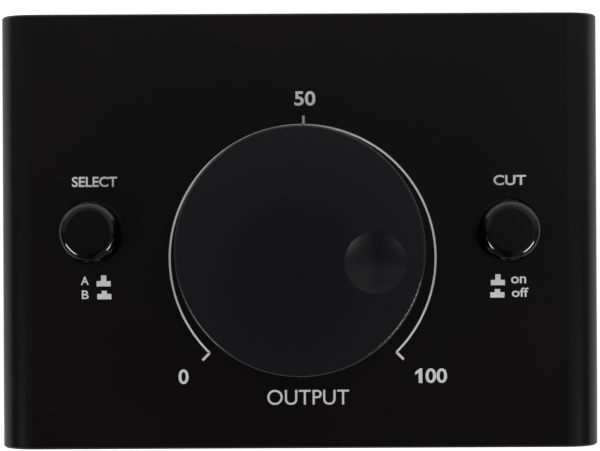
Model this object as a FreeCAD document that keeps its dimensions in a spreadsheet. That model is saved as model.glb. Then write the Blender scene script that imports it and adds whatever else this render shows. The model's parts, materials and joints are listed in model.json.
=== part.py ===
import FreeCAD, Part
import os
import re

import Sketcher
from FreeCAD import Rotation, Vector

# A desktop monitor controller: a low extruded aluminium cover over a folded steel tray. One board
# carries a two-gang volume potentiometer, two latching push switches and six jack sockets.
# X runs across the front, Y runs from the front to the sockets, Z is up. The origin is under the
# middle of the case, on the surface that the feet stand on. Millimetres and degrees.

sizes = [
    ("caseWidth", 128.0, "cover, outside width"),
    ("caseDepth", 92.5, "cover, length of the extrusion from front to rear"),
    ("coverHeight", 31.0, "cover, outside height"),
    ("topWall", 3.0, "cover, thickness of the top panel"),
    ("sideWall", 2.5, "cover, thickness of the side walls"),
    ("edgeRadius", 7.0, "cover, outside radius of the two long edges"),
    ("innerRadius", 4.0, "cover, inside radius of the two long edges"),
    ("endBreak", 0.4, "cover, broken edge around each cut end"),
    ("coverLift", 3.0, "height of the cover's lower edge over the desk"),
    ("ledgeWidth", 7.0, "screw ledge inside each side wall, width"),
    ("ledgeHeight", 5.0, "screw ledge, height"),
    ("ledgeGap", 0.3, "room between the end of a ledge and the tray's fold"),
    ("trayInset", 1.0, "tray's underside over the cover's lower edge"),
    ("traySheet", 1.2, "tray, sheet thickness"),
    ("trayGap", 0.25, "room between the tray and the cover"),
    ("frontRecess", 0.6, "tray's front upright inside the cut end of the cover"),
    ("rearRecess", 3.0, "tray's rear upright inside the cut end, deep enough to shelter the nuts"),
    ("bendRadius", 0.8, "tray, inside radius of the folds"),
    ("caseScrewInset", 26.0, "screws into a ledge, from the end of the cover"),
    ("screwRadius", 1.5, "M3 thread, outside radius"),
    ("threadGap", 0.05, "room between a screw and its thread"),
    ("screwHoleGap", 0.2, "room around a screw in a plain hole"),
    ("screwHeadRadius", 2.75, "button head, radius"),
    ("screwHeadHeight", 1.65, "button head, height"),
    ("screwHeadDome", 3.4, "button head, radius of its dome"),
    ("keyRadius", 1.15, "hexagon key recess, corner radius"),
    ("keyDepth", 1.0, "hexagon key recess, depth"),
    ("screwBite", 4.0, "length of a screw in its thread"),
    ("nutCorner", 3.18, "M3 nut and standoff, corner radius for 5.5 across the flats"),
    ("nutHeight", 2.4, "M3 nut, height"),
    ("nutProud", 0.6, "foot screw past its nut"),
    ("nutBevel", 30.0, "angle of the bevel on a nut's corners"),
    ("footSideInset", 4.5, "foot's axis inside the edge of the ledge"),
    ("footEndInset", 10.0, "foot's axis from the end of the cover"),
    ("footRadius", 6.5, "foot, radius where it meets the tray"),
    ("footTaper", 0.6, "foot, how much narrower its sole is"),
    ("footBore", 3.1, "foot, radius of the recess for the screw head"),
    ("footWeb", 1.6, "foot, rubber between the screw head and the tray"),
    ("footEdge", 0.5, "foot, rounding of the sole"),
    ("standoffStud", 2.1, "standoff, radius of the stud pressed into the tray"),
    ("boardThickness", 1.6, "board, thickness"),
    ("boardSideGap", 0.75, "board's side edges inside the edges of the ledges"),
    ("boardFrontGap", 5.5, "room between the board and the tray's front upright"),
    ("boardRearGap", 0.5, "room between the board and the tray's rear upright"),
    ("boardHoleSide", 5.75, "front board screws, from the board's side edges"),
    ("boardHoleFront", 10.5, "front board screws, from the board's front edge"),
    ("boardHoleRear", 4.3, "rear board screws in front of the jack sockets"),
    ("knobForward", 4.0, "knob's axis in front of the middle of the case"),
    ("knobTurn", -9.0, "direction of the finger dish from +X, as stored"),
    ("knobRadius", 25.6, "knob, radius"),
    ("knobHeight", 18.5, "knob, height"),
    ("knobGap", 1.5, "knob's lower edge over the panel"),
    ("knobSkirt", 3.0, "knob, thickness of the skirt"),
    ("knobCrown", 4.5, "knob, thickness of the top"),
    ("knobEdge", 0.5, "knob, rounding of its upper edge"),
    ("knobFoot", 0.3, "knob, broken lower edge"),
    ("hubRadius", 6.5, "knob, hub radius"),
    ("hubClear", 1.0, "room between the hub and the bush"),
    ("hubRoof", 3.5, "knob, thickness over the shaft's bore"),
    ("dishRadius", 6.3, "finger dish, radius at the rim"),
    ("dishDepth", 1.2, "finger dish, depth"),
    ("dishOffset", 15.5, "finger dish, from the knob's axis"),
    ("setScrewRise", 5.0, "set screw's axis over the foot of the hub"),
    ("setScrewKey", 0.87, "set screw, corner radius of its key recess"),
    ("setScrewAccess", 1.8, "radius of the hole in the skirt for the key"),
    ("shaftRadius", 3.0, "shaft, radius"),
    ("shaftFlat", 1.5, "shaft, distance of the flat from the axis"),
    ("shaftTip", 0.5, "room between the shaft's tip and the roof of its bore"),
    ("runningGap", 0.05, "radial room of a running fit"),
    ("potBodyHeight", 18.0, "potentiometer, board to the face that meets the panel"),
    ("potPlateWidth", 17.0, "potentiometer, width of the plate that carries the bush"),
    ("potPlateHeight", 2.0, "potentiometer, thickness of that plate"),
    ("potLugWidth", 1.2, "potentiometer, locating lug on the plate, along X"),
    ("potLugDepth", 2.8, "potentiometer, locating lug, along Y"),
    ("potLugHeight", 1.2, "potentiometer, locating lug, height"),
    ("potLugOffset", 7.6, "potentiometer, locating lug from the axis"),
    ("potLugGap", 0.2, "room around the lug in the panel"),
    ("potCapHeight", 3.0, "potentiometer, height of the end cap on the board"),
    ("potGangRadius", 8.3, "potentiometer, radius of each gang"),
    ("potWaferWidth", 13.0, "potentiometer, width of the terminal block"),
    ("potWaferReach", 1.5, "potentiometer, terminal block in front of the gang"),
    ("potPinPitch", 5.0, "potentiometer, terminal pitch"),
    ("potPinReachLower", 1.6, "lower gang, terminal in front of its block"),
    ("potPinReachUpper", 4.6, "upper gang, terminal in front of its block"),
    ("potPinWidth", 0.9, "potentiometer, terminal width"),
    ("potPinSheet", 0.4, "potentiometer, terminal thickness"),
    ("bushRadius", 4.5, "bush, thread radius"),
    ("bushHoleGap", 0.25, "room around the bush in the panel"),
    ("bushProud", 0.8, "bush above its nut"),
    ("washerRadius", 7.0, "washer, radius"),
    ("washerSheet", 0.5, "washer, thickness"),
    ("potNutCorner", 6.93, "potentiometer nut, corner radius for 12 across the flats"),
    ("potNutHeight", 2.2, "potentiometer nut, height"),
    ("buttonInset", 19.6, "button's axis from the side of the case"),
    ("capRadius", 6.4, "button cap, radius"),
    ("capProud", 6.0, "button cap above the panel when it is out"),
    ("capEdge", 1.85, "button cap, rounding of its upper edge"),
    ("capHoleGap", 0.5, "room around the cap in the panel"),
    ("capFlangeRadius", 7.9, "button cap, radius of the flange under the panel"),
    ("capFlangeHeight", 1.0, "button cap, thickness of the flange"),
    ("capFlangeGap", 0.4, "room between the flange and the panel when the button is out"),
    ("capWall", 1.3, "button cap, wall"),
    ("capCeiling", 2.0, "button cap, thickness of the top"),
    ("capBossRadius", 2.9, "button cap, boss that grips the plunger"),
    ("capBossLift", 1.0, "button cap, boss inside the lower edge"),
    ("capGrip", 5.0, "length of the plunger in the boss"),
    ("plungerRadius", 1.6, "plunger, radius"),
    ("plungerFootRadius", 2.7, "plunger, radius of the foot that the spring pushes"),
    ("plungerFootHeight", 1.5, "plunger, height of that foot"),
    ("plungerStopGap", 0.1, "room between the foot and the roof when the button is out"),
    ("switchWidth", 8.5, "switch, width and depth"),
    ("switchHeight", 11.0, "switch, height"),
    ("switchWall", 1.0, "switch, side walls and floor"),
    ("switchRoof", 1.5, "switch, roof that guides the plunger"),
    ("switchEdge", 0.4, "switch, broken upright edges"),
    ("springRadius", 1.9, "return spring, mean radius"),
    ("springWire", 0.2, "return spring, wire radius"),
    ("springTurns", 5.0, "return spring, turns"),
    ("springSeat", 0.05, "room at each end of the spring"),
    ("switchPinPitch", 2.5, "switch, pin pitch"),
    ("pinWidth", 0.6, "switch and socket pins, width"),
    ("pinProud", 1.4, "pins under the board"),
    ("pinHole", 0.65, "board, radius of a pin's hole"),
    ("jackPitch", 18.0, "jack sockets, one to the next"),
    ("jackRise", 6.6, "jack sockets' axis over the board"),
    ("jackWidth", 15.5, "jack socket, width of the housing"),
    ("jackHeight", 13.0, "jack socket, height of the housing"),
    ("jackDepth", 28.0, "jack socket, depth of the housing"),
    ("jackEdge", 0.8, "jack socket, broken upper edges"),
    ("jackBore", 3.25, "jack socket, radius of the bore for a 6.35 mm plug"),
    ("jackBlind", 1.5, "jack socket, wall at the inner end of the bore"),
    ("jackBushRadius", 5.5, "jack socket, thread radius of the bush"),
    ("jackBushSeat", 4.0, "jack socket, length of the bush in the housing"),
    ("jackBushProud", 0.3, "jack socket, bush past its nut"),
    ("jackNutCorner", 8.08, "jack nut, corner radius for 14 across the flats"),
    ("jackNutHeight", 2.0, "jack nut, height"),
    ("jackWasherRadius", 7.3, "jack washer, radius"),
    ("jackWasherSheet", 0.5, "jack washer, thickness"),
    ("jackHoleGap", 0.25, "room around a bush in the tray"),
    ("jackPinSpan", 10.0, "sleeve pins of one socket, one to the other"),
    ("jackPinBack", 3.0, "sleeve pins behind the front of the housing"),
    ("leafWidth", 1.4, "tip contact, width of the leaf"),
    ("leafSheet", 0.3, "tip contact, thickness"),
    ("leafLength", 12.0, "tip contact, length over the bore"),
    ("leafGap", 0.1, "room around the leaf in its slot and over the bore"),
    ("leafHole", 0.8, "board, radius of the hole for a leaf's leg"),
    ("seatGap", 0.04, "room between pieces that are pressed together"),
    ("toolReach", 1.0, "how far a cutting tool runs past what it cuts"),
]

# Places that follow from the sizes, as formulas.
derived = {
    "panelTop": "coverLift + coverHeight",
    "panelUnder": "panelTop - topWall",
    "trayUnder": "coverLift + trayInset",
    "trayTop": "trayUnder + traySheet",
    "trayWidth": "caseWidth - 2 * sideWall - 2 * trayGap",
    "trayFront": "caseDepth / 2 - frontRecess",
    "trayRear": "caseDepth / 2 - rearRecess",
    "trayHeight": "coverHeight - topWall - trayInset - trayGap",
    "wallInside": "trayRear - traySheet",
    "ledgeUnder": "trayInset + traySheet",
    "ledgeTop": "ledgeUnder + ledgeHeight",
    "ledgeEdge": "caseWidth / 2 - sideWall - ledgeWidth",
    "caseScrewSide": "ledgeEdge + ledgeWidth / 2",
    "caseScrewEnd": "caseDepth / 2 - caseScrewInset",
    "footSide": "ledgeEdge - footSideInset",
    "footEnd": "caseDepth / 2 - footEndInset",
    "holeRadius": "screwRadius + screwHoleGap",
    "shankRadius": "screwRadius - threadGap",
    "boardTop": "panelUnder - potBodyHeight",
    "boardUnder": "boardTop - boardThickness",
    "boardWidth": "2 * ledgeEdge - 2 * boardSideGap",
    "boardRear": "wallInside - boardRearGap",
    "boardFront": "-trayFront + traySheet + boardFrontGap",
    "bushTop": "panelTop + washerSheet + potNutHeight + bushProud",
    "knobUnder": "panelTop + knobGap",
    "hubFoot": "bushTop + hubClear - knobUnder",
    "hubBoreTop": "knobHeight - hubRoof",
    "dishSphere": "(dishRadius ^ 2 + dishDepth ^ 2) / (2 * dishDepth)",
    "gangHeight": "(potBodyHeight - potPlateHeight - potCapHeight) / 2",
    "buttonSide": "caseWidth / 2 - buttonInset",
    "capUnder": "panelUnder - capFlangeGap - capFlangeHeight",
    "capHeight": "panelTop + capProud - capUnder",
    "switchTop": "boardTop + switchHeight",
    "switchFloorTop": "boardTop + switchWall",
    "switchRoofUnder": "switchTop - switchRoof",
    "plungerFootTop": "switchRoofUnder - plungerStopGap",
    "plungerFootUnder": "plungerFootTop - plungerFootHeight",
    "springRoom": "plungerFootUnder - switchFloorTop",
    "springHeight": "springRoom - 2 * springWire - 2 * springSeat",
    "pinLength": "boardThickness + pinProud",
    "jackLevel": "boardTop + jackRise",
    "jackBushLength": "jackBushSeat + traySheet + jackWasherSheet + jackNutHeight + jackBushProud",
}

sizeNames = {name for name, value, note in sizes}
value = {name: number for name, number, note in sizes}

doc = FreeCAD.newDocument("MonitorController")
sheet = doc.addObject("Spreadsheet::Sheet", "Sizes")
for row, (name, number, note) in enumerate(sizes, start=1):
    sheet.set(f"A{row}", note)
    sheet.set(f"B{row}", str(number))
    sheet.setAlias(f"B{row}", name)
doc.recompute()

nodes = []
touch = 0.01  # edges are picked by their place to within this


def formula(text):
    """The expression for a formula: each name becomes its cell, or what it is worked out from."""
    def cell(match):
        name = match.group(0)
        if name in derived:
            return "(" + formula(derived[name]) + ")"
        return "Sizes." + name if name in sizeNames else name
    return re.sub(r"[A-Za-z]\w*", cell, str(text))


def bind(item, **texts):
    for prop, text in texts.items():
        item.setExpression(prop, formula(text))


def place(item, across="0", along="0", up="0"):
    """Sets an item down, in the case or within the piece that it is part of."""
    item.setExpression("Placement.Base.x", formula(across))
    item.setExpression("Placement.Base.y", formula(along))
    item.setExpression("Placement.Base.z", formula(up))


def turn(item, axis, angle):
    item.Placement = FreeCAD.Placement(Vector(), Rotation(axis, angle))


def addNode(item, label):
    item.Label = label
    nodes.append(item)
    return item


# Sketches and PartDesign features.

def newBody(name):
    return doc.addObject("PartDesign::Body", name)


def newSketch(body, role, name):
    sketch = body.newObject("Sketcher::SketchObject", name)
    plane = next(item for item in body.Origin.OriginFeatures if item.Role == role)
    sketch.AttachmentSupport = [(plane, "")]
    sketch.MapMode = "FlatFace"
    return sketch


def holdPoint(sketch, line, point, across, up):
    """Ties a point of a sketch to the origin by two bound distances."""
    for kind, text in (("DistanceX", across), ("DistanceY", up)):
        number = sketch.addConstraint(Sketcher.Constraint(kind, -1, 1, line, point, 1.0))
        sketch.setExpression(f"Constraints[{number}]", formula(text))


def drawOutline(sketch, corners):
    """A closed outline of straight lines through the corners."""
    first = sketch.GeometryCount
    count = len(corners)
    for index in range(count):
        start = Vector(index, index % 2, 0)
        end = Vector(index + 1, (index + 1) % 2, 0)
        sketch.addGeometry(Part.LineSegment(start, end), False)
    for index in range(count):
        following = first + (index + 1) % count
        sketch.addConstraint(Sketcher.Constraint("Coincident", first + index, 2, following, 1))
    for index, (across, up) in enumerate(corners):
        holdPoint(sketch, first + index, 1, across, up)


def drawRectangle(sketch, left, right, low, high):
    drawOutline(sketch, [(left, low), (right, low), (right, high), (left, high)])


def drawCircle(sketch, across, up, radius):
    index = sketch.addGeometry(Part.Circle(Vector(0, 0, 0), Vector(0, 0, 1), 1.0), False)
    holdPoint(sketch, index, 3, across, up)
    number = sketch.addConstraint(Sketcher.Constraint("Radius", index, 1.0))
    sketch.setExpression(f"Constraints[{number}]", formula(radius))


def addPad(body, sketch, name, length, middle=False):
    pad = body.newObject("PartDesign::Pad", name)
    pad.Profile = sketch
    if middle:
        pad.SideType = "Symmetric"
    bind(pad, Length=length)
    doc.recompute()
    return pad


def addPocket(body, sketch, name, length=None, towardsFront=True):
    """Cuts up from an XY sketch or towards the front from an XZ one, through all without a length."""
    before = body.Shape.Volume
    pocket = body.newObject("PartDesign::Pocket", name)
    pocket.Profile = sketch
    pocket.Reversed = towardsFront
    if length is None:
        pocket.Type = "ThroughAll"
    else:
        bind(pocket, Length=length)
    doc.recompute()
    if body.Shape.Volume > before - touch:
        raise RuntimeError(name + " cuts nothing")
    return pocket


def addRevolution(body, corners, name):
    sketch = newSketch(body, "XZ_Plane", name + "Profile")
    drawOutline(sketch, corners)
    solid = body.newObject("PartDesign::Revolution", name)
    solid.Profile = sketch
    solid.ReferenceAxis = (sketch, ["V_Axis"])
    solid.Angle = 360
    doc.recompute()
    return solid


def edgesWhere(shape, rule):
    names = []
    for index, edge in enumerate(shape.Edges, start=1):
        if rule(edge):
            names.append(f"Edge{index}")
    return names


def addRounding(body, name, radius, rule, kind="PartDesign::Fillet"):
    base = body.Tip
    found = edgesWhere(base.Shape, rule)
    if not found:
        raise RuntimeError(name + " finds no edges")
    feature = body.newObject(kind, name)
    feature.Base = (base, found)
    bind(feature, **{"Radius" if kind.endswith("Fillet") else "Size": radius})
    doc.recompute()
    return feature


def runsAlong(edge, axis):
    if not isinstance(edge.Curve, Part.Line):
        return False
    return edge.Curve.Direction.cross(axis).Length < touch


def isRing(edge, radius, height):
    """A full circle around the Z axis at a height."""
    if not isinstance(edge.Curve, Part.Circle):
        return False
    return abs(edge.Curve.Radius - radius) < touch and abs(edge.Curve.Center.z - height) < touch


# Primitives and booleans.

def addBox(name, wide, deep, high, across="0", along="0", up="0"):
    """A box centred across and along, standing on its height."""
    box = doc.addObject("Part::Box", name)
    bind(box, Length=wide, Width=deep, Height=high)
    place(box, f"{across} - ({wide}) / 2", f"{along} - ({deep}) / 2", up)
    return box


def addCylinder(name, radius, high, up="0", across="0", along="0"):
    cylinder = doc.addObject("Part::Cylinder", name)
    bind(cylinder, Radius=radius, Height=high)
    place(cylinder, across, along, up)
    return cylinder


def addHexagon(name, corner, high, up="0"):
    prism = doc.addObject("Part::Prism", name)
    prism.Polygon = 6
    bind(prism, Circumradius=corner, Height=high)
    place(prism, up=up)
    return prism


def addCut(name, base, tool):
    cut = doc.addObject("Part::Cut", name)
    cut.Base = base
    cut.Tool = tool
    return cut


def addFuse(name, *pieces):
    fuse = doc.addObject("Part::MultiFuse", name)
    fuse.Shapes = list(pieces)
    return fuse


def addGroup(label, pieces):
    group = doc.addObject("Part::Compound", label)
    group.Links = pieces
    return addNode(group, label)


def makeScrew(name, length):
    """A button-head screw: the head's bearing face at the origin, the shank up +Z."""
    disc = addCylinder(name + "Disc", "screwHeadRadius", "screwHeadHeight", up="-screwHeadHeight")
    dome = doc.addObject("Part::Sphere", name + "Dome")
    bind(dome, Radius="screwHeadDome")
    place(dome, up="screwHeadDome - screwHeadHeight")
    head = doc.addObject("Part::MultiCommon", name + "Head")
    head.Shapes = [disc, dome]
    shank = addCylinder(name + "Shank", "shankRadius", length)
    body = addFuse(name + "Body", head, shank)
    key = addHexagon(name + "Key", "keyRadius", "keyDepth", up="-screwHeadHeight")
    return addCut(name, body, key)


def makeNut(name, corner, high, bore):
    """A hexagon nut on its bearing face, with the corners of its outer face turned to a bevel."""
    hexagon = addHexagon(name + "Hexagon", corner, high)
    flat = f"{corner} * cos(30)"
    bevel = doc.addObject("Part::Cone", name + "Bevel")
    bind(bevel, Radius1=f"{flat} + {high} / tan(nutBevel)", Radius2=flat, Height=high)
    blank = doc.addObject("Part::MultiCommon", name + "Blank")
    blank.Shapes = [hexagon, bevel]
    return addCut(name, blank, addCylinder(name + "Bore", bore, high))


corners = [(side, end) for end in ("-", "") for side in ("-", "")]
cornerNames = ["front_left", "front_right", "rear_left", "rear_right"]
alongX, alongY, alongZ = Vector(1, 0, 0), Vector(0, 1, 0), Vector(0, 0, 1)


jackNames = ["output_b_right", "output_b_left", "output_a_right", "output_a_left",
             "input_right", "input_left"]
jackColumns = [f"{step} * jackPitch" for step in (-2.5, -1.5, -0.5, 0.5, 1.5, 2.5)]


def boardCorner(side, end):
    if end:
        return f"{side}(boardWidth / 2 - boardHoleSide)", "boardFront + boardHoleFront"
    return f"{side}(2 * jackPitch)", "wallInside - jackDepth - boardHoleRear"


# Casing.

def makeCover():
    """The extrusion: top panel, two side walls and a screw ledge inside each wall."""
    body = newBody("TopCover")
    right = [
        ("caseWidth / 2", "coverHeight"), ("caseWidth / 2", "0"),
        ("caseWidth / 2 - sideWall", "0"), ("caseWidth / 2 - sideWall", "ledgeUnder"),
        ("ledgeEdge", "ledgeUnder"), ("ledgeEdge", "ledgeTop"),
        ("caseWidth / 2 - sideWall", "ledgeTop"), ("caseWidth / 2 - sideWall", "coverHeight - topWall"),
    ]
    left = [(f"-({across})", up) for across, up in reversed(right)]
    profile = newSketch(body, "XZ_Plane", "CoverProfile")
    drawOutline(profile, right + left)
    pad = addPad(body, profile, "CoverExtrusion", "caseDepth", middle=True)
    box = pad.Shape.BoundBox

    def isOuter(edge):
        centre = edge.CenterOfMass
        return runsAlong(edge, alongY) and centre.z > box.ZMax - touch and abs(centre.x) > box.XMax - touch

    def isInner(edge):
        centre = edge.CenterOfMass
        inside = abs(abs(centre.x) - box.XMax + value["sideWall"]) < touch
        return runsAlong(edge, alongY) and inside and abs(centre.z - box.ZMax + value["topWall"]) < touch

    def isEnd(edge):
        centre = edge.CenterOfMass
        reach = edge.BoundBox
        flat = reach.YLength < touch and abs(abs(centre.y) - box.YMax) < touch
        outside = abs(centre.x) > box.XMax - value["sideWall"] / 2 or centre.z > box.ZMax - value["topWall"] / 2
        return flat and outside and centre.z > touch

    addRounding(body, "LongEdges", "edgeRadius", isOuter)
    addRounding(body, "InnerCorners", "innerRadius", isInner)

    # The ledges are milled back at both ends, where the tray's uprights stand.
    ends = newSketch(body, "XY_Plane", "LedgeEnds")
    for side, end in corners:
        inner, outer = f"{side}(ledgeEdge)", f"{side}(caseWidth / 2 - sideWall)"
        upright = "trayFront" if end else "trayRear"
        near, far = f"{end}({upright} - traySheet - bendRadius - ledgeGap)", f"{end}(caseDepth / 2)"
        drawRectangle(ends, inner, outer, near, far)
    addPocket(body, ends, "MilledEnds", "ledgeTop")

    threads = newSketch(body, "XY_Plane", "LedgeThreads")
    for side, end in corners:
        drawCircle(threads, f"{side}(caseScrewSide)", f"{end}(caseScrewEnd)", "screwRadius")
    addPocket(body, threads, "CaseThreads", "ledgeTop")

    holes = newSketch(body, "XY_Plane", "PanelHoles")
    drawCircle(holes, "0", "-knobForward", "bushRadius + bushHoleGap")
    for side in ("-", ""):
        drawCircle(holes, f"{side}(buttonSide)", "0", "capRadius + capHoleGap")
    addPocket(body, holes, "ControlHoles")

    lug = newSketch(body, "XY_Plane", "LugRecess")
    half = "potLugDepth / 2 + potLugGap"
    drawRectangle(lug, "-potLugOffset - potLugGap", "-potLugOffset + potLugWidth + potLugGap",
                  f"-knobForward - ({half})", f"-knobForward + {half}")
    addPocket(body, lug, "LugRecessCut", "coverHeight - topWall + potLugHeight + potLugGap")

    addRounding(body, "EndEdges", "endBreak", isEnd, kind="PartDesign::Chamfer")
    place(body, up="coverLift")
    addNode(body, "top_cover")


def makeTray():
    """The folded sheet: floor, front upright and rear upright."""
    body = newBody("ChassisTray")
    profile = newSketch(body, "YZ_Plane", "TrayProfile")
    drawOutline(profile, [
        ("-trayFront", "0"), ("-trayFront", "trayHeight"), ("-trayFront + traySheet", "trayHeight"),
        ("-trayFront + traySheet", "traySheet"), ("wallInside", "traySheet"),
        ("wallInside", "trayHeight"), ("trayRear", "trayHeight"), ("trayRear", "0"),
    ])
    pad = addPad(body, profile, "TraySheet", "trayWidth", middle=True)
    box = pad.Shape.BoundBox
    sheetSize = value["traySheet"]

    def isOuterFold(edge):
        centre = edge.CenterOfMass
        end = min(centre.y - box.YMin, box.YMax - centre.y)
        return runsAlong(edge, alongX) and centre.z < touch and end < touch

    def isInnerFold(edge):
        centre = edge.CenterOfMass
        end = min(centre.y - box.YMin, box.YMax - centre.y)
        return runsAlong(edge, alongX) and abs(centre.z - sheetSize) < touch and abs(end - sheetSize) < touch

    def isTopCorner(edge):
        return runsAlong(edge, alongY) and edge.CenterOfMass.z > box.ZMax - touch

    addRounding(body, "OuterFolds", "bendRadius + traySheet", isOuterFold)
    addRounding(body, "InnerFolds", "bendRadius", isInnerFold)
    addRounding(body, "UprightCorners", "innerRadius - trayGap", isTopCorner)

    floor = newSketch(body, "XY_Plane", "FloorHoles")
    for side, end in corners:
        drawCircle(floor, f"{side}(caseScrewSide)", f"{end}(caseScrewEnd)", "holeRadius")
        drawCircle(floor, f"{side}(footSide)", f"{end}(footEnd)", "holeRadius")
        drawCircle(floor, *boardCorner(side, end), "standoffStud + seatGap")
    addPocket(body, floor, "FloorPunching")

    rear = newSketch(body, "XZ_Plane", "RearHoles")
    for across in jackColumns:
        drawCircle(rear, across, "jackLevel - trayUnder", "jackBushRadius + jackHoleGap")
    addPocket(body, rear, "RearPunching", towardsFront=False)
    place(body, up="trayUnder")
    addNode(body, "chassis_tray")


def makeFoot(label, side, end):
    """A rubber foot, tapered to its sole, with a recess that hides the screw head."""
    body = newBody(label.title().replace("_", ""))
    addRevolution(body, [
        ("holeRadius", "trayUnder"), ("footRadius", "trayUnder"), ("footRadius - footTaper", "0"),
        ("footBore", "0"), ("footBore", "trayUnder - footWeb"), ("holeRadius", "trayUnder - footWeb"),
    ], label.title().replace("_", "") + "Turned")
    sole = value["footRadius"] - value["footTaper"]
    addRounding(body, label.title().replace("_", "") + "Sole", "footEdge",
                lambda edge: isRing(edge, sole, 0))
    place(body, f"{side}(footSide)", f"{end}(footEnd)")
    addNode(body, label)


def makeCasingHardware():
    caseScrews, footScrews, footNuts = [], [], []
    for (side, end), name in zip(corners, cornerNames):
        screw = makeScrew("CaseScrew_" + name, "traySheet + screwBite")
        place(screw, f"{side}(caseScrewSide)", f"{end}(caseScrewEnd)", "trayUnder")
        caseScrews.append(screw)
        across, along = f"{side}(footSide)", f"{end}(footEnd)"
        screw = makeScrew("FootScrew_" + name, "footWeb + traySheet + nutHeight + nutProud")
        place(screw, across, along, "trayUnder - footWeb")
        footScrews.append(screw)
        nut = makeNut("FootNut_" + name, "nutCorner", "nutHeight", "screwRadius")
        place(nut, across, along, "trayTop")
        footNuts.append(nut)
    addGroup("case_screws", caseScrews)
    addGroup("foot_screws", footScrews)
    addGroup("foot_nuts", footNuts)


# Board and what holds it.

def makeBoard():
    body = newBody("MainBoard")
    outline = newSketch(body, "XY_Plane", "BoardOutline")
    drawRectangle(outline, "-boardWidth / 2", "boardWidth / 2", "boardFront", "boardRear")
    addPad(body, outline, "BoardBlank", "boardThickness")
    holes = newSketch(body, "XY_Plane", "BoardScrewHoles")
    for side, end in corners:
        drawCircle(holes, *boardCorner(side, end), "holeRadius")
    addPocket(body, holes, "BoardFixings")
    pins = newSketch(body, "XY_Plane", "BoardPinHoles")
    for middle in ("-(buttonSide)", "buttonSide"):
        for column in (-1, 0, 1):
            for line in (-1, 1):
                drawCircle(pins, f"{middle} + {column} * switchPinPitch", f"{line} * switchPinPitch", "pinHole")
    for reach in ("potPinReachLower", "potPinReachUpper"):
        for column in (-1, 0, 1):
            drawCircle(pins, f"{column} * potPinPitch", potPinLine(reach), "pinHole")
    for across in jackColumns:
        drawCircle(pins, across, leafLine, "leafHole")
        for side in ("-", "+"):
            drawCircle(pins, f"{across} {side} jackPinSpan / 2", "wallInside - jackPinBack", "pinHole")
    addPocket(body, pins, "BoardDrilling")
    place(body, up="boardUnder")
    addNode(body, "main_board")


def makeBoardHardware():
    standoffs, screws = [], []
    for (side, end), name in zip(corners, cornerNames):
        across, along = boardCorner(side, end)
        hexagon = addHexagon("StandoffHexagon_" + name, "nutCorner", "boardUnder - trayTop")
        stud = addCylinder("StandoffStud_" + name, "standoffStud", "traySheet", up="-traySheet")
        blank = addFuse("StandoffBlank_" + name, hexagon, stud)
        thread = addCylinder("StandoffThread_" + name, "screwRadius", "screwBite + nutProud",
                             up="boardUnder - trayTop - screwBite - nutProud")
        standoff = addCut("Standoff_" + name, blank, thread)
        place(standoff, across, along, "trayTop")
        standoffs.append(standoff)
        screw = makeScrew("BoardScrew_" + name, "boardThickness + screwBite")
        turn(screw, alongX, 180)
        place(screw, across, along, "boardTop")
        screws.append(screw)
    addGroup("board_standoffs", standoffs)
    addGroup("board_screws", screws)


# Volume control.

def potPinLine(reach):
    return f"-knobForward - potGangRadius - potWaferReach - {reach} + potPinSheet / 2"


def makeGang(label, up):
    """One resistor wafer in its round case, with the block that its terminals leave."""
    name = label.title().replace("_", "")
    case = addCylinder(name + "Case", "potGangRadius", "gangHeight")
    wafer = addBox(name + "Wafer", "potWaferWidth", "potGangRadius + potWaferReach", "gangHeight",
                   along="-(potGangRadius + potWaferReach) / 2")
    bore = addCylinder(name + "Bore", "shaftRadius + runningGap", "gangHeight")
    gang = addCut(name, addFuse(name + "Blank", case, wafer), bore)
    place(gang, along="-knobForward", up=up)
    addNode(gang, label)


def makePotentiometer():
    cap = addCylinder("PotEndCap", "potGangRadius", "potCapHeight")
    place(cap, along="-knobForward", up="boardTop")
    addNode(cap, "pot_end_cap")
    makeGang("pot_gang_lower", "boardTop + potCapHeight")
    makeGang("pot_gang_upper", "boardTop + potCapHeight + gangHeight")

    plate = addBox("PotPlate", "potPlateWidth", "potPlateWidth", "potPlateHeight")
    thread = addCylinder("PotThread", "bushRadius", "bushTop - panelUnder", up="potPlateHeight")
    lug = addBox("PotLug", "potLugWidth", "potLugDepth", "potPlateHeight + potLugHeight",
                 across="-potLugOffset + potLugWidth / 2")
    bore = addCylinder("PotBore", "shaftRadius + runningGap", "bushTop - panelUnder + potPlateHeight")
    bush = addCut("PotBush", addFuse("PotBushBlank", plate, thread, lug), bore)
    place(bush, along="-knobForward", up="panelUnder - potPlateHeight")
    addNode(bush, "pot_bush")

    washer = addCut("PotWasher", addCylinder("WasherDisc", "washerRadius", "washerSheet"),
                    addCylinder("WasherHole", "bushRadius + threadGap", "washerSheet"))
    place(washer, along="-knobForward", up="panelTop")
    addNode(washer, "pot_washer")
    nut = makeNut("PotNut", "potNutCorner", "potNutHeight", "bushRadius + threadGap")
    place(nut, along="-knobForward", up="panelTop + washerSheet")
    addNode(nut, "pot_nut")

    pins = []
    for gang, reach in ((0, "potPinReachLower"), (1, "potPinReachUpper")):
        level = f"boardTop + potCapHeight + {gang} * gangHeight + gangHeight / 2"
        drop = f"{level} - boardUnder + pinProud"
        for column in (-1, 0, 1):
            name = f"PotPin{gang}_{column + 1}"
            tongue = addBox(name + "Tongue", "potPinWidth", reach, "potPinSheet", along=f"-{reach} / 2")
            leg = addBox(name + "Leg", "potPinWidth", "potPinSheet", drop,
                         along=f"-{reach} + potPinSheet / 2", up=f"potPinSheet - ({drop})")
            pin = addFuse(name, tongue, leg)
            place(pin, f"{column} * potPinPitch", "-knobForward - potGangRadius - potWaferReach", level)
            pins.append(pin)
    addGroup("pot_pins", pins)


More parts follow.
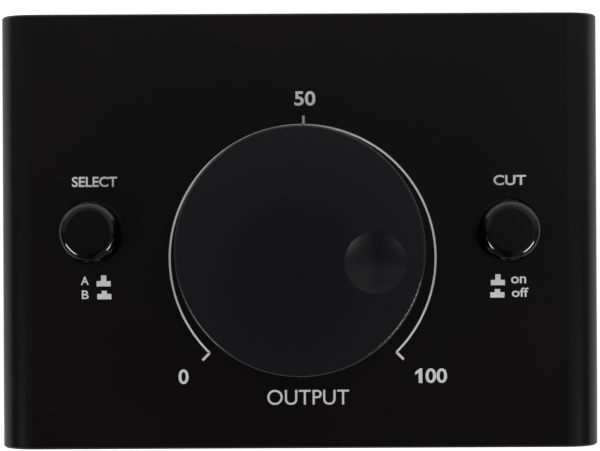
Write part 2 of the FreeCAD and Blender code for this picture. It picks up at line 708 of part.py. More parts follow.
def makeShaft():
    """The shaft: round in its bearings, with one flat for the knob's set screw."""
    foot = "boardTop + potCapHeight"
    tip = "knobUnder + hubBoreTop - shaftTip"
    bar = addCylinder("ShaftBar", "shaftRadius", f"{tip} - ({foot})")
    flat = addBox("ShaftFlat", "shaftRadius", "2 * shaftRadius", f"{tip} - bushTop",
                  across="-shaftFlat - shaftRadius / 2", up=f"bushTop - ({foot})")
    shaft = addCut("PotShaft", bar, flat)
    place(shaft, along="-knobForward", up=foot)
    bind(shaft, **{"Placement.Rotation.Angle": "knobTurn"})
    addNode(shaft, "pot_shaft")


def makeKnob():
    """The turned knob: a skirt round a hub, and a spherical dish for one finger near the rim."""
    body = newBody("VolumeKnob")
    ceiling, inner = "knobHeight - knobCrown", "knobRadius - knobSkirt"
    addRevolution(body, [
        ("0", "knobHeight"), ("knobRadius", "knobHeight"), ("knobRadius", "0"), (inner, "0"),
        (inner, ceiling), ("hubRadius", ceiling), ("hubRadius", "hubFoot"),
        ("shaftRadius + seatGap", "hubFoot"), ("shaftRadius + seatGap", "hubBoreTop"), ("0", "hubBoreTop"),
    ], "KnobTurned")
    addRounding(body, "KnobUpperEdge", "knobEdge",
                lambda edge: isRing(edge, value["knobRadius"], value["knobHeight"]))
    addRounding(body, "KnobLowerEdge", "knobFoot",
                lambda edge: isRing(edge, value["knobRadius"], 0), kind="PartDesign::Chamfer")
    dish = body.newObject("PartDesign::SubtractiveSphere", "FingerDish")
    bind(dish, Radius="dishSphere")
    place(dish, across="dishOffset", up="knobHeight + dishSphere - dishDepth")
    doc.recompute()
    between = "(hubRadius + toolReach)"
    for name, radius, start, far in (("SetScrewThread", "screwRadius", "0", between),
                                     ("KeyAccess", "setScrewAccess", between, "knobRadius + toolReach")):
        hole = body.newObject("PartDesign::SubtractiveCylinder", name)
        turn(hole, alongY, -90)
        bind(hole, Radius=radius, Height=f"{far} - {start}")
        place(hole, across=f"-{start}", up="hubFoot + setScrewRise")
        doc.recompute()
    place(body, along="-knobForward", up="knobUnder")
    bind(body, **{"Placement.Rotation.Angle": "knobTurn"})
    addNode(body, "volume_knob")

    start = "shaftFlat + seatGap"
    bar = addCylinder("SetScrewBar", "shankRadius", f"hubRadius - ({start})", up=start)
    key = addHexagon("SetScrewKey", "setScrewKey", "keyDepth", up="hubRadius - keyDepth")
    screw = addCut("SetScrewLocal", bar, key)
    turn(screw, alongY, -90)
    place(screw, up="hubFoot + setScrewRise")
    holder = addGroup("knob_set_screw", [screw])
    place(holder, along="-knobForward", up="knobUnder")
    bind(holder, **{"Placement.Rotation.Angle": "knobTurn"})


# Push buttons.

def makeCap(label, middle):
    """A round cap: flange under the panel, rounded upper edge, boss inside that grips the plunger."""
    name = label.title().replace("_", "")
    body = newBody(name)
    ceiling, inner = "capHeight - capCeiling", "capRadius - capWall"
    grip = "plungerRadius + seatGap"
    addRevolution(body, [
        ("0", "capHeight"), ("capRadius", "capHeight"), ("capRadius", "capFlangeHeight"),
        ("capFlangeRadius", "capFlangeHeight"), ("capFlangeRadius", "0"), (inner, "0"),
        (inner, ceiling), ("capBossRadius", ceiling), ("capBossRadius", "capBossLift"),
        (grip, "capBossLift"), (grip, "capBossLift + capGrip"), ("0", "capBossLift + capGrip"),
    ], name + "Turned")
    top = body.Shape.BoundBox.ZMax
    addRounding(body, name + "Edge", "capEdge", lambda edge: isRing(edge, value["capRadius"], top))
    place(body, across=middle, up="capUnder")
    addNode(body, label)


def makeSwitch(prefix, middle):
    """A latching push switch: guide body, plunger with its foot, return spring and six pins."""
    name = prefix.title().replace("_", "")
    body = newBody(name + "Body")
    outline = newSketch(body, "XY_Plane", name + "Outline")
    half = "switchWidth / 2"
    drawRectangle(outline, f"-{half}", half, f"-{half}", half)
    addPad(body, outline, name + "Block", "switchHeight")
    addRounding(body, name + "Uprights", "switchEdge", lambda edge: runsAlong(edge, alongZ),
                kind="PartDesign::Chamfer")
    wide = "(switchWidth - 2 * switchWall)"
    chamber = body.newObject("PartDesign::SubtractiveBox", name + "Chamber")
    bind(chamber, Length=wide, Width=wide, Height="switchHeight - switchWall - switchRoof")
    place(chamber, f"-{wide} / 2", f"-{wide} / 2", "switchWall")
    guide = body.newObject("PartDesign::SubtractiveCylinder", name + "Guide")
    bind(guide, Radius="plungerRadius + runningGap", Height="switchRoof + 2 * toolReach")
    place(guide, up="switchHeight - switchRoof - toolReach")
    place(body, across=middle, up="boardTop")
    addNode(body, prefix + "_switch_body")

    foot = addCylinder(name + "Foot", "plungerFootRadius", "plungerFootHeight")
    stem = addCylinder(name + "Stem", "plungerRadius", "capUnder + capBossLift + capGrip - plungerFootUnder")
    plunger = addFuse(name + "Plunger", foot, stem)
    place(plunger, across=middle, up="plungerFootUnder")
    addNode(plunger, prefix + "_switch_plunger")

    coil = doc.addObject("Part::Helix", name + "Coil")
    bind(coil, Pitch="springHeight / springTurns", Height="springHeight", Radius="springRadius")
    wire = doc.addObject("Part::Circle", name + "Wire")
    turn(wire, alongX, 90)
    bind(wire, Radius="springWire")
    place(wire, across="springRadius")
    doc.recompute()
    spring = doc.addObject("Part::Sweep", name + "Spring")
    spring.Sections = [wire]
    spring.Spine = (coil, [f"Edge{number + 1}" for number in range(len(coil.Shape.Edges))])
    spring.Solid = True
    spring.Frenet = True
    place(spring, across=middle, up="switchFloorTop + springSeat + springWire")
    addNode(spring, prefix + "_switch_spring")

    pins = []
    for column in (-1, 0, 1):
        for line in (-1, 1):
            pin = addBox(f"{name}Pin{column + 1}{line + 1}", "pinWidth", "pinWidth", "pinLength")
            place(pin, f"{middle} + {column} * switchPinPitch - pinWidth / 2",
                  f"{line} * switchPinPitch - pinWidth / 2", "boardUnder - pinProud")
            pins.append(pin)
    addGroup(prefix + "_switch_pins", pins)


# Rear sockets.

leafLine = "wallInside - jackDepth - leafSheet / 2"


def makeJack(prefix, across):
    """One jack socket: a moulded housing on the board, a threaded bush, and a leaf for the plug's tip."""
    name = prefix.title().replace("_", "")
    housing = newBody(name + "Housing")
    outline = newSketch(housing, "XY_Plane", name + "Outline")
    drawRectangle(outline, "-jackWidth / 2", "jackWidth / 2", "-jackDepth", "0")
    addPad(housing, outline, name + "Moulding", "jackHeight")
    box = housing.Shape.BoundBox
    addRounding(housing, name + "Edges", "jackEdge",
                lambda edge: runsAlong(edge, alongY) and edge.CenterOfMass.z > box.ZMax - touch,
                kind="PartDesign::Chamfer")
    for word, radius, depth in (("Bore", "jackBore", "jackDepth - jackBlind"),
                                ("Seat", "jackBushRadius + seatGap", "jackBushSeat")):
        sketch = newSketch(housing, "XZ_Plane", name + word + "Circle")
        drawCircle(sketch, "0", "jackRise", radius)
        addPocket(housing, sketch, name + word, depth)
    slot = housing.newObject("PartDesign::SubtractiveBox", name + "Slot")
    bind(slot, Length="leafWidth + 2 * leafGap", Width="leafLength + leafGap", Height="jackHeight - jackRise")
    place(slot, "-leafWidth / 2 - leafGap", "-jackDepth", "jackRise + jackBore / 2")
    place(housing, across, "wallInside", "boardTop")
    addNode(housing, prefix + "_jack_housing")

    bush = addCut(name + "Bush", addCylinder(name + "BushBar", "jackBushRadius", "jackBushLength"),
                  addCylinder(name + "BushBore", "jackBore", "jackBushLength"))
    turn(bush, alongX, -90)
    place(bush, across, "wallInside - jackBushSeat", "jackLevel")
    addNode(bush, prefix + "_jack_bush")

    drop = "(jackRise + jackBore + leafGap + leafSheet + pinLength)"
    leaf = addBox(name + "Leaf", "leafWidth", "leafLength", "leafSheet",
                  along="leafLength / 2 - jackDepth", up=f"{drop} - pinLength - leafSheet")
    leg = addBox(name + "Leg", "leafWidth", "leafSheet", drop,
                 along="-jackDepth - leafSheet / 2", up="-pinLength")
    contact = [addFuse(name + "TipContact", leaf, leg)]
    place(contact[0], across, "wallInside", "boardTop")
    for side in ("-", "+"):
        pin = addBox(f"{name}SleevePin{len(contact)}", "pinWidth", "pinWidth", "pinLength")
        place(pin, f"{across} {side} jackPinSpan / 2 - pinWidth / 2",
              "wallInside - jackPinBack - pinWidth / 2", "boardUnder - pinProud")
        contact.append(pin)
    addGroup(prefix + "_jack_contacts", contact)


def makeJackHardware():
    nuts, washers = [], []
    for prefix, across in zip(jackNames, jackColumns):
        washer = addCut("JackWasher_" + prefix,
                        addCylinder("JackDisc_" + prefix, "jackWasherRadius", "jackWasherSheet"),
                        addCylinder("JackDiscHole_" + prefix, "jackBushRadius + threadGap", "jackWasherSheet"))
        turn(washer, alongX, -90)
        place(washer, across, "trayRear", "jackLevel")
        washers.append(washer)
        nut = makeNut("JackNut_" + prefix, "jackNutCorner", "jackNutHeight", "jackBushRadius + threadGap")
        turn(nut, alongX, -90)
        place(nut, across, "trayRear + jackWasherSheet", "jackLevel")
        nuts.append(nut)
    addGroup("jack_washers", washers)
    addGroup("jack_nuts", nuts)


makeCover()
makeTray()
for (side, end), corner in zip(corners, cornerNames):
    makeFoot("foot_" + corner, side, end)
makeCasingHardware()
makeBoard()
makeBoardHardware()
makePotentiometer()
makeShaft()
makeKnob()
for prefix, middle in (("source", "-(buttonSide)"), ("mute", "buttonSide")):
    makeCap(prefix + "_button_cap", middle)
    makeSwitch(prefix, middle)
for prefix, across in zip(jackNames, jackColumns):
    makeJack(prefix, across)
makeJackHardware()

doc.recompute()
failed = [item.Name for item in doc.Objects if {"Invalid", "Error"} & set(item.State)]
if failed:
    raise RuntimeError("these objects failed: " + ", ".join(failed))
for item in nodes:
    if item.Shape.isNull() or not item.Shape.isValid() or not item.Shape.Solids:
        raise RuntimeError(item.Label + " has no valid shape")

os.makedirs("parts", exist_ok=True)
for item in nodes:
    item.Shape.exportStep(os.path.join("parts", item.Label + ".step"))
print(len(nodes), "nodes,", sum(len(item.Shape.Solids) for item in nodes), "solids")
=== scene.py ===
import json
import math

import bmesh
import bpy
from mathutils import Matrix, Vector


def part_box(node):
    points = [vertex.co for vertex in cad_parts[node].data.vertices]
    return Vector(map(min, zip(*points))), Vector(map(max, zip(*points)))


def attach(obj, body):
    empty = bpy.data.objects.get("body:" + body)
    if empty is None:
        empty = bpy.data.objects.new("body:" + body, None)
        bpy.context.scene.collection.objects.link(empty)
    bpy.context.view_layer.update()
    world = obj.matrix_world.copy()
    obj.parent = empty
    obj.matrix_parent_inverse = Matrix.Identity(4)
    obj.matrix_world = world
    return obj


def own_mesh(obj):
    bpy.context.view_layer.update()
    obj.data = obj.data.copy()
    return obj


# A desktop monitor controller: blasted black case, dished volume knob and two glossy push buttons.
# Lengths in the dictionaries are millimetres, angles are degrees.

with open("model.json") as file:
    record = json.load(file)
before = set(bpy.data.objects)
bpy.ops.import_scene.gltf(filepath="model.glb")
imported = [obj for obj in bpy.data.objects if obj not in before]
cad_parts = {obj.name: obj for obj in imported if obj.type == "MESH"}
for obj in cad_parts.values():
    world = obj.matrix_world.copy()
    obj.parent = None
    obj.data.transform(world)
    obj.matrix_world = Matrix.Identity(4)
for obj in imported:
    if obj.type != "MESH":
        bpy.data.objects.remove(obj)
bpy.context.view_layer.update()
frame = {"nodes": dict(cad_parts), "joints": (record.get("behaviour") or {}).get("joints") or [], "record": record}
mm = 0.001
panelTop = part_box("top_cover")[1].z
print("frame:", len(frame["nodes"]), "nodes")


# Shader maths: a socket that adds, scales and compares like a number.

class Signal:
    def __init__(self, look, link):
        self.look = look
        self.link = link

    def maths(self, operation, *values):
        return self.look.add("ShaderNodeMath", {"operation": operation}, dict(enumerate(values)))

    def __add__(self, other):
        return self.maths("ADD", self, other)

    def __sub__(self, other):
        return self.maths("SUBTRACT", self, other)

    def __rsub__(self, other):
        return self.maths("SUBTRACT", other, self)

    def __mul__(self, other):
        return self.maths("MULTIPLY", self, other)

    def __truediv__(self, other):
        return self.maths("DIVIDE", self, other)

    def __rtruediv__(self, other):
        return self.maths("DIVIDE", other, self)

    def __gt__(self, other):
        return self.maths("GREATER_THAN", self, other)

    def __lt__(self, other):
        return self.maths("LESS_THAN", self, other)

    __radd__ = __add__
    __rmul__ = __mul__


class Look:
    # one material, or the world, with its nodes
    def __init__(self, owner):
        owner.use_nodes = True
        self.owner = owner
        self.tree = owner.node_tree

    def add(self, kind, settings=None, values=None, output=0):
        node = self.tree.nodes.new(kind)
        for name, setting in (settings or {}).items():
            if name == "stops":
                self.setStops(node.color_ramp, setting)
            else:
                setattr(node, name, setting)
        self.feed(node, values or {})
        return Signal(self, node.outputs[output])

    def setStops(self, ramp, stops):
        while len(ramp.elements) < len(stops):
            ramp.elements.new(1.0)
        for element, (place, level) in zip(ramp.elements, stops):
            element.position = place
            element.color = (level, level, level, 1)

    def feed(self, node, values):
        for name, value in values.items():
            socket = node.inputs[name]
            if isinstance(value, Signal):
                self.tree.links.new(value.link, socket)
            elif socket.type == "RGBA" and len(value) == 3:
                socket.default_value = (*value, 1)
            else:
                socket.default_value = value

    def mix(self, share, first, second):
        return self.add("ShaderNodeMix", {"data_type": "RGBA"}, {0: share, 6: first, 7: second}, 2)

    def vectors(self, operation, *values, output="Vector"):
        return self.add("ShaderNodeVectorMath", {"operation": operation}, dict(enumerate(values)), output)

    def noise(self, where, size, detail=2.0, roughness=0.5):
        # size is that of the blotches, in millimetres
        values = {"Vector": where, "Scale": 1 / (size * mm), "Detail": detail, "Roughness": roughness}
        return self.add("ShaderNodeTexNoise", {}, values)

    def cells(self, where, size, output="Distance"):
        return self.add("ShaderNodeTexVoronoi", {}, {"Vector": where, "Scale": 1 / (size * mm)}, output)

    def ramp(self, signal, stops):
        return self.add("ShaderNodeValToRGB", {"stops": stops}, {"Fac": signal})

    def bump(self, height, strength, depth):
        values = {"Height": height, "Strength": strength, "Distance": depth * mm}
        return self.add("ShaderNodeBump", {}, values)


def newLook(name, **values):
    look = Look(bpy.data.materials.new(name))
    look.shader = look.tree.nodes["Principled BSDF"]
    look.where = look.add("ShaderNodeTexCoord", output="Object")
    look.feed(look.shader, {key.replace("_", " "): value for key, value in values.items()})
    return look


def grey(level):
    return level, level, level


def dustSpecks(look, dust):
    # a grain of dust in some of the cells
    near = look.cells(look.where, dust["spacing"]) < dust["size"] / dust["spacing"]
    chosen = look.cells(look.where, dust["spacing"], "Color")
    lottery = look.add("ShaderNodeSeparateColor", {}, {"Color": chosen})
    return near * (lottery < dust["share"])


# The case: fine blasting under black anodising, a little uneven from place to place.
blasted = {
    "dark": (0.0012, 0.0004, 0.0006), "light": (0.0024, 0.0012, 0.0014),
    "patches": 28.0, "patchDetail": 3.0, "patchStops": ((0.3, 0.0), (0.7, 1.0)),
    "grain": 0.22, "grainDetail": 2.0, "grainRoughness": 0.6, "bump": 0.35, "bumpDepth": 0.02,
    "rough": 0.22, "roughPatches": 0.03, "roughGrain": 0.06, "specular": 0.37,
    "dust": {"colour": grey(0.10), "spacing": 11.0, "size": 0.16, "share": 0.16},
}


def blackAnodised():
    look = newLook("blackAnodised", Specular_IOR_Level=blasted["specular"])
    patches = look.noise(look.where, blasted["patches"], blasted["patchDetail"])
    grain = look.noise(look.where, blasted["grain"], blasted["grainDetail"], blasted["grainRoughness"])
    dust = dustSpecks(look, blasted["dust"])
    tone = look.mix(look.ramp(patches, blasted["patchStops"]), blasted["dark"], blasted["light"])
    rough = blasted["rough"] + patches * blasted["roughPatches"] + grain * blasted["roughGrain"]
    look.feed(look.shader, {
        "Base Color": look.mix(dust, tone, blasted["dust"]["colour"]),
        "Roughness": rough,
        "Normal": look.bump(grain, blasted["bump"], blasted["bumpDepth"]),
    })
    return look.owner


# The knob: fine turning under satin black anodising, with painted sheen that makes its base colour lighter towards
# its outer edge.
turned = {
    # the last colour is painted sheen, mixed in towards the outer edge of the knob
    "dark": (0.0034, 0.0034, 0.0048), "light": (0.0046, 0.0046, 0.0060), "rim": (0.0078, 0.0078, 0.0098),
    "rimStops": ((0.2, 0.0), (1.0, 1.0)), "patches": 16.0,
    "grain": 0.12, "grainDetail": 1.0, "bump": 0.2, "bumpDepth": 0.01,
    "rough": 0.21, "roughGrain": 0.05, "specular": 0.45,
    "dust": {"colour": grey(0.07), "spacing": 9.0, "size": 0.14, "share": 0.12},
}


def knobAnodised():
    look = newLook("knobAnodised", Specular_IOR_Level=turned["specular"])
    low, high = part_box("volume_knob")
    fromMiddle = look.vectors("SUBTRACT", look.where, (low + high) / 2)
    out = look.vectors("LENGTH", look.vectors("MULTIPLY", fromMiddle, (1, 1, 0)), output="Value")
    # painted sheen: the share of a lighter base colour grows from the middle of the knob outwards
    paintedSheenShare = look.ramp(out / ((high.x - low.x) / 2), turned["rimStops"])
    patches = look.noise(look.where, turned["patches"])
    grain = look.noise(look.where, turned["grain"], turned["grainDetail"])
    dust = dustSpecks(look, turned["dust"])
    tone = look.mix(paintedSheenShare, look.mix(patches, turned["dark"], turned["light"]), turned["rim"])
    look.feed(look.shader, {
        "Base Color": look.mix(dust, tone, turned["dust"]["colour"]),
        "Roughness": turned["rough"] + grain * turned["roughGrain"],
        "Normal": look.bump(grain, turned["bump"], turned["bumpDepth"]),
    })
    return look.owner


# The button caps: polished black plastic with faint smears and ripples.
polished = {
    "dark": (0.0008, 0.0008, 0.0009), "light": (0.0016, 0.0015, 0.0016),
    "ripple": 3.0, "rippleDetail": 1.0, "bump": 0.06, "bumpDepth": 0.02,
    "smear": 1.6, "smearDetail": 3.0, "rough": 0.07, "roughSmear": 0.06, "specular": 0.65,
}


def buttonGloss():
    look = newLook("buttonGloss", Specular_IOR_Level=polished["specular"])
    ripple = look.noise(look.where, polished["ripple"], polished["rippleDetail"])
    smear = look.noise(look.where, polished["smear"], polished["smearDetail"])
    look.feed(look.shader, {
        "Base Color": look.mix(smear, polished["dark"], polished["light"]),
        "Roughness": polished["rough"] + smear * polished["roughSmear"],
        "Normal": look.bump(ripple, polished["bump"], polished["bumpDepth"]),
    })
    return look.owner


# The other finishes have one grain, which moves colour, roughness and surface, and blotches of many grains.
mottle = {"times": 12, "share": 0.6}


def plainFinish(name, dark, light, grain, rough, spread, metal=0.0, bump=0.2, bumpDepth=0.02):
    look = newLook(name, Metallic=metal)
    blotch = look.noise(look.where, grain * mottle["times"])
    fine = look.noise(look.where, grain)
    look.feed(look.shader, {
        "Base Color": look.mix(blotch * mottle["share"] + fine * (1 - mottle["share"]), dark, light),
        "Roughness": rough + (fine - 0.5) * spread,
        "Normal": look.bump(fine, bump, bumpDepth),
    })
    return look.owner


plainFinishes = {
    "tray_paint": {"name": "trayPaint", "dark": grey(0.006), "light": grey(0.012),
                   "grain": 0.35, "rough": 0.5, "spread": 0.2, "bump": 0.5, "bumpDepth": 0.05},
    "foot_rubber": {"name": "footRubber", "dark": grey(0.008), "light": grey(0.018),
                    "grain": 0.3, "rough": 0.8, "spread": 0.1},
    "zinc_steel": {"name": "zincSteel", "dark": (0.45, 0.46, 0.48), "light": grey(0.62),
                   "grain": 0.2, "rough": 0.32, "spread": 0.15, "metal": 1.0, "bump": 0.1},
    "black_steel": {"name": "blackSteel", "dark": (0.02, 0.02, 0.022), "light": (0.045, 0.045, 0.05),
                    "grain": 0.15, "rough": 0.4, "spread": 0.1, "metal": 0.8, "bump": 0.1},
    "board_laminate": {"name": "boardLaminate", "dark": (0.01, 0.07, 0.035), "light": (0.02, 0.12, 0.06),
                       "grain": 1.0, "rough": 0.35, "spread": 0.1},
    "brass": {"name": "turnedBrass", "dark": (0.6, 0.42, 0.18), "light": (0.75, 0.58, 0.3),
              "grain": 0.2, "rough": 0.3, "spread": 0.1, "metal": 1.0, "bump": 0.1},
    "pot_case": {"name": "potCase", "dark": (0.35, 0.35, 0.36), "light": grey(0.5),
                 "grain": 0.3, "rough": 0.42, "spread": 0.1, "metal": 1.0, "bump": 0.15},
    "pot_wafer": {"name": "potWafer", "dark": (0.12, 0.05, 0.02), "light": (0.2, 0.09, 0.04),
                  "grain": 0.5, "rough": 0.5, "spread": 0.1},
    "tinned_brass": {"name": "tinnedBrass", "dark": (0.55, 0.54, 0.5), "light": (0.7, 0.69, 0.66),
                     "grain": 0.2, "rough": 0.3, "spread": 0.1, "metal": 1.0, "bump": 0.1},
    "shaft_metal": {"name": "shaftMetal", "dark": grey(0.6), "light": grey(0.75),
                    "grain": 0.15, "rough": 0.3, "spread": 0.1, "metal": 1.0, "bump": 0.1},
    "black_nylon": {"name": "blackNylon", "dark": grey(0.010), "light": grey(0.020),
                    "grain": 0.2, "rough": 0.45, "spread": 0.1},
    "white_nylon": {"name": "whiteNylon", "dark": (0.6, 0.59, 0.55), "light": (0.72, 0.71, 0.67),
                    "grain": 0.3, "rough": 0.4, "spread": 0.1},
    "nickel": {"name": "brightNickel", "dark": (0.6, 0.57, 0.52), "light": (0.72, 0.7, 0.65),
               "grain": 0.25, "rough": 0.22, "spread": 0.12, "metal": 1.0, "bump": 0.08},
}
finishes = {"black_anodised": blackAnodised(), "knob_anodised": knobAnodised(), "button_gloss": buttonGloss()}
for slot, values in plainFinishes.items():
    finishes[slot] = plainFinish(**values)
for row in frame["record"]["subparts"]:
    node = frame["nodes"][row["node"]]
    node.data.materials.clear()
    node.data.materials.append(finishes[row["material_slot"]])
print("finishes:", len(finishes))


# The return springs stand on the switch floor. Each gets its own copy of its mesh; the share of its length left
# after the travel of its button is worked out but not applied.
buttons = ("source", "mute")


def squeezeSpring(button):
    spring = button + "_switch_spring"
    low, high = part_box(spring)
    joint = next(joint for joint in frame["joints"] if joint["name"] == button + "_press")
    keep = 1 - joint["range_m"][1] / (high.z - low.z)
    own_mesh(frame["nodes"][spring])


for button in buttons:
    squeezeSpring(button)
print("springs:", len(buttons))


# Print on the panel: white ink that lies on it as thin slabs.
ink = {
    "thickness": 0.02, "colour": (0.77, 0.76, 0.76), "worn": (0.71, 0.70, 0.705),
    "fade": 1.2, "fadeDetail": 3.0, "fadeStops": ((0.35, 0.0), (0.75, 1.0)),
    "grain": 0.2, "bump": 0.2, "bumpDepth": 0.01, "rough": 0.55, "specular": 0.3,
}


def inkFinish():
    look = newLook("printInk", Roughness=ink["rough"], Specular_IOR_Level=ink["specular"])
    fade = look.noise(look.where, ink["fade"], ink["fadeDetail"])
    look.feed(look.shader, {
        "Base Color": look.mix(look.ramp(fade, ink["fadeStops"]), ink["colour"], ink["worn"]),
        "Normal": look.bump(look.noise(look.where, ink["grain"]), ink["bump"], ink["bumpDepth"]),
    })
    return look.owner


inkMaterial = inkFinish()


def layInk(name, mesh):
    mesh.materials.clear()
    mesh.materials.append(inkMaterial)
    piece = bpy.data.objects.new(name, mesh)
    bpy.context.scene.collection.objects.link(piece)
    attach(piece, "case")


def inkMesh(name, outlines):
    # closed slabs on the panel, one for each outline of (across, along) points
    mesh = bpy.data.meshes.new(name)
    work = bmesh.new()
    inkTop = panelTop + ink["thickness"] * mm
    for outline in outlines:
        low = [work.verts.new((x * mm, y * mm, panelTop)) for x, y in outline]
        high = [work.verts.new((x * mm, y * mm, inkTop)) for x, y in outline]
        work.faces.new(high)
        work.faces.new(list(reversed(low)))
        for index in range(len(outline)):
            after = (index + 1) % len(outline)
            work.faces.new((low[index], low[after], high[after], high[index]))
    bmesh.ops.recalc_face_normals(work, faces=work.faces)
    work.to_mesh(mesh)
    work.free()
    return mesh


# The line round the knob, with a tick at each end and one in the middle. It isn't centred on the knob.
dial = {
    "across": 0.58, "along": -5.73,
    "radius": 28.26, "line": 0.42,
    "start": 225.4, "end": -45.4,
    "tick": 2.2, "tickLine": 0.52, "middleTick": 1.95, "middleAngle": 89.4,
    "steps": 180,
}


def polar(radius, angle):
    turn = math.radians(angle)
    return dial["across"] + radius * math.cos(turn), dial["along"] + radius * math.sin(turn)


def tickOutline(angle, length):
    turn = math.radians(angle)
    aside = Vector((-math.sin(turn), math.cos(turn))) * dial["tickLine"] / 2
    inner, outer = Vector(polar(dial["radius"], angle)), Vector(polar(dial["radius"] + length, angle))
    return [inner - aside, outer - aside, outer + aside, inner + aside]


def printDial():
    sweep = dial["end"] - dial["start"]
    angles = [dial["start"] + sweep * step / dial["steps"] for step in range(dial["steps"] + 1)]
    outer = [polar(dial["radius"] + dial["line"] / 2, angle) for angle in angles]
    inner = [polar(dial["radius"] - dial["line"] / 2, angle) for angle in reversed(angles)]
    layInk("print_dial_line", inkMesh("dialLine", [outer + inner]))
    ticks = [tickOutline(dial["start"], dial["tick"]), tickOutline(dial["end"], dial["tick"]),
             tickOutline(dial["middleAngle"], dial["middleTick"])]
    layInk("print_dial_ticks", inkMesh("dialTicks", ticks))


# Each label: text, middle across, middle along, width, height, extra weight as a share of the letter size.
labels = {
    "print_0": ("0", -24.85, -30.88, 2.15, 3.14, 0.020),
    "print_50": ("50", 1.21, 28.16, 4.47, 3.09, 0.020),
    "print_00": ("00", 28.87, -30.90, 4.58, 3.12, 0.020),
    "print_output": ("OUTPUT", 1.62, -35.36, 17.39, 3.2, 0.0),
    "print_select": ("SELECT", -43.58, 10.63, 9.62, 2.2, 0.022),
    "print_cut": ("CUT", 44.66, 10.60, 6.9, 2.2, 0.022),
    "print_a": ("A", -45.74, -10.39, 1.68, 1.79, 0.015),
    "print_b": ("B", -45.66, -13.34, 1.44, 1.85, 0.015),
    "print_on": ("on", 46.46, -10.63, 3.20, 1.48, 0.015),
    "print_off": ("off", 46.78, -13.27, 3.54, 1.98, 0.015),
}
lettering = {"extrude": 0.5, "smooth": 6}  # the extrusion is scaled to the thickness of the ink


def printLabel(name, text, across, along, width, height, weight):
    curve = bpy.data.curves.new(name, "FONT")
    curve.body = text
    curve.offset = weight
    curve.extrude = lettering["extrude"]
    curve.resolution_u = lettering["smooth"]
    holder = bpy.data.objects.new(name + "Text", curve)
    bpy.context.scene.collection.objects.link(holder)
    bpy.context.view_layer.update()
    shaped = holder.evaluated_get(bpy.context.evaluated_depsgraph_get())
    mesh = bpy.data.meshes.new_from_object(shaped)
    bpy.data.objects.remove(holder)
    low = Vector([min(vertex.co[axis] for vertex in mesh.vertices) for axis in range(3)])
    high = Vector([max(vertex.co[axis] for vertex in mesh.vertices) for axis in range(3)])
    middle, spread = (low + high) / 2, high - low
    stretch = Vector((width / spread.x, height / spread.y, ink["thickness"] / spread.z))
    seat = Vector((across, along, ink["thickness"] / 2))
    for vertex in mesh.vertices:
        vertex.co = ((vertex.co - middle) * stretch + seat) * mm
        vertex.co.z += panelTop
    layInk(name, mesh)


# The 1 of the 100: a stem whose flag slopes down to the left.
one = {
    "left": 24.38, "foot": -32.44, "wide": 1.52, "high": 3.10, "stem": 0.78,
    "flagTop": 2.32, "flagFoot": 1.72, "flagRoot": 2.16, "shoulder": 0.98,
}


def printOne():
    left, foot = one["left"], one["foot"]
    right, top, stem = left + one["wide"], foot + one["high"], left + one["wide"] - one["stem"]
    outline = [(stem, foot), (right, foot), (right, top), (left + one["shoulder"], top),
               (left, foot + one["flagTop"]), (left, foot + one["flagFoot"]), (stem, foot + one["flagRoot"])]
    layInk("print_1", inkMesh("print_1", [outline]))


# Button signs: a base with a stem, tall when the button is out and short when it is in.
signs = {"baseWide": 3.0, "baseHigh": 1.14, "stemWide": 1.14, "stemOut": 1.20, "stemIn": 0.67}
signPlaces = {
    "print_sign_a_out": (-41.74, -11.60, "stemOut"),
    "print_sign_b_in": (-41.62, -14.34, "stemIn"),
    "print_sign_on_out": (42.06, -11.74, "stemOut"),
    "print_sign_off_in": (41.94, -14.36, "stemIn"),
}


def printSign(name, across, foot, stem):
    half, neck = signs["baseWide"] / 2, signs["stemWide"] / 2
    shoulder = foot + signs["baseHigh"]
    top = shoulder + signs[stem]
    outline = [(across - half, foot), (across + half, foot), (across + half, shoulder),
               (across + neck, shoulder), (across + neck, top), (across - neck, top),
               (across - neck, shoulder), (across - half, shoulder)]
    layInk(name, inkMesh(name, [outline]))


printDial()
for name, label in labels.items():
    printLabel(name, *label)
printOne()
for name, place in signPlaces.items():
    printSign(name, *place)
print("print:", len(labels), "labels and", len(signPlaces), "signs")


# The floor is pale paper. It looks white to the camera and dim in the gloss of the part.
floor = {
    "side": 6000.0, "colour": grey(0.80), "rough": 0.9, "specular": 0.1,
    "seenGlow": 0.75, "mirroredGlow": 0.1,
}


def layFloor():
    half = floor["side"] / 2 * mm
    corners = [(-half, -half, 0), (half, -half, 0), (half, half, 0), (-half, half, 0)]
    mesh = bpy.data.meshes.new("floor")
    mesh.from_pydata(corners, [], [(0, 1, 2, 3)])
    piece = bpy.data.objects.new("floor", mesh)
    bpy.context.scene.collection.objects.link(piece)
    look = newLook("floorPaper", Roughness=floor["rough"], Specular_IOR_Level=floor["specular"],
                   Emission_Strength=1.0)
    seen = look.add("ShaderNodeLightPath", output="Is Camera Ray")
    mirrored = look.add("ShaderNodeLightPath", output="Is Glossy Ray")
    through = look.add("ShaderNodeLightPath", output="Is Transmission Ray")
    glow = seen * floor["seenGlow"] + (mirrored + through) * floor["mirroredGlow"]
    white = look.mix(glow, grey(0), grey(1))
    look.feed(look.shader, {"Base Color": floor["colour"], "Emission Color": white})
    mesh.materials.append(look.owner)


# Brightness of the room by direction: 1 is towards the side named, -1 is away from it.
room = {
    "plain": 0.01,
    "rear": ((-0.08, 0.0), (0.0, 0.05), (0.09, 0.20), (0.25, 0.19), (0.42, 0.15), (0.65, 0.08), (0.9, 0.06)),
    "right": ((-0.1, 0.0), (0.02, 0.005), (0.1, 0.03), (0.18, 0.16), (0.42, 0.15), (0.7, 0.08), (1.0, 0.08)),
    "left": ((-0.1, 0.0), (0.02, 0.005), (0.1, 0.01), (0.18, 0.06), (0.42, 0.06), (0.7, 0.04), (1.0, 0.04)),
}


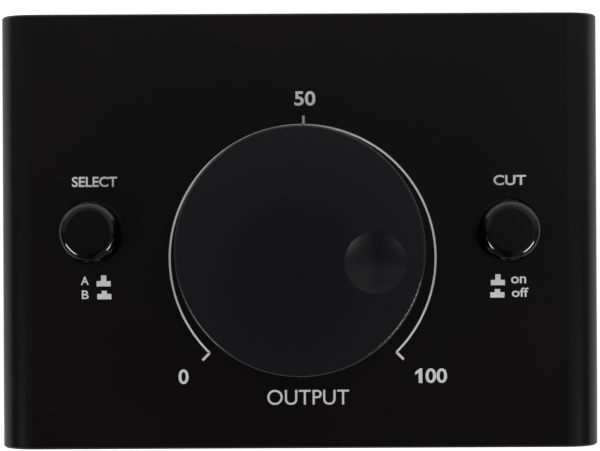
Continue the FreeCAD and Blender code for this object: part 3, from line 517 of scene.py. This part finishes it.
def paintRoom():
    world = bpy.data.worlds.new("studio")
    bpy.context.scene.world = world
    look = Look(world)
    way = look.add("ShaderNodeTexCoord", output="Generated")
    across = look.add("ShaderNodeSeparateXYZ", {}, {"Vector": way}, "X")
    along = look.add("ShaderNodeSeparateXYZ", {}, {"Vector": way}, "Y")

    def side(axis, name):
        # a ramp runs from 0 to 1, a direction from -1 to 1
        return look.ramp(axis * 0.5 + 0.5, [((place + 1) / 2, level) for place, level in room[name]])

    level = side(along, "rear") + side(across, "right") + side(across * -1.0, "left") + room["plain"]
    seen = look.add("ShaderNodeLightPath", output="Is Camera Ray")
    background = look.tree.nodes["Background"]
    look.feed(background, {"Color": (1, 1, 1), "Strength": seen + (1 - seen) * level})


# Two soft lamps in front, and a wall of light close behind the case in bands that get dimmer upwards.
frontLamps = {
    "places": {"leftLamp": (-634.0, -503.0, 610.0), "rightLamp": (630.0, -490.0, 605.0)},
    "target": (0.0, 0.0, 37.0), "size": (400.0, 200.0), "radiance": 15.5,
}
rearWall = {
    "across": 30.0, "along": 125.0, "lowest": 60.0, "wide": 700.0, "band": 60.0,
    "radiances": (0.85, 0.55, 0.35, 0.15),
}


def hangLamp(name, place, target, size, radiance):
    light = bpy.data.lights.new(name, "AREA")
    light.shape = "RECTANGLE"
    light.size, light.size_y = (side * mm for side in size)
    light.energy = radiance * math.pi * light.size * light.size_y
    holder = bpy.data.objects.new(name, light)
    holder.location = Vector(place) * mm
    holder.rotation_euler = (Vector(place) - Vector(target)).to_track_quat("Z", "Y").to_euler()
    bpy.context.scene.collection.objects.link(holder)


def hangLamps():
    for name, place in frontLamps["places"].items():
        hangLamp(name, place, frontLamps["target"], frontLamps["size"], frontLamps["radiance"])
    for level, radiance in enumerate(rearWall["radiances"]):
        height = rearWall["lowest"] + rearWall["band"] * level
        place = (rearWall["across"], rearWall["along"], height)
        target = (rearWall["across"], 0.0, height)
        hangLamp(f"rearBand{level}", place, target, (rearWall["wide"], rearWall["band"]), radiance)


# The camera looks straight down.
view = {
    "across": 0.05, "along": 1.15, "height": 474.0, "roll": -0.27,
    "lens": 124.2, "sensor": 36.0, "near": 10.0, "far": 20000.0,
}


def setCamera():
    data = bpy.data.cameras.new("camera")
    data.lens = view["lens"]
    data.sensor_width = view["sensor"]
    data.clip_start, data.clip_end = view["near"] * mm, view["far"] * mm
    camera = bpy.data.objects.new("camera", data)
    camera.location = (view["across"] * mm, view["along"] * mm, view["height"] * mm)
    camera.rotation_euler = (0, 0, math.radians(view["roll"]))
    bpy.context.scene.collection.objects.link(camera)
    bpy.context.scene.camera = camera


layFloor()
paintRoom()
hangLamps()
setCamera()
bpy.context.scene.view_settings.view_transform = "Standard"
print("studio: ready")
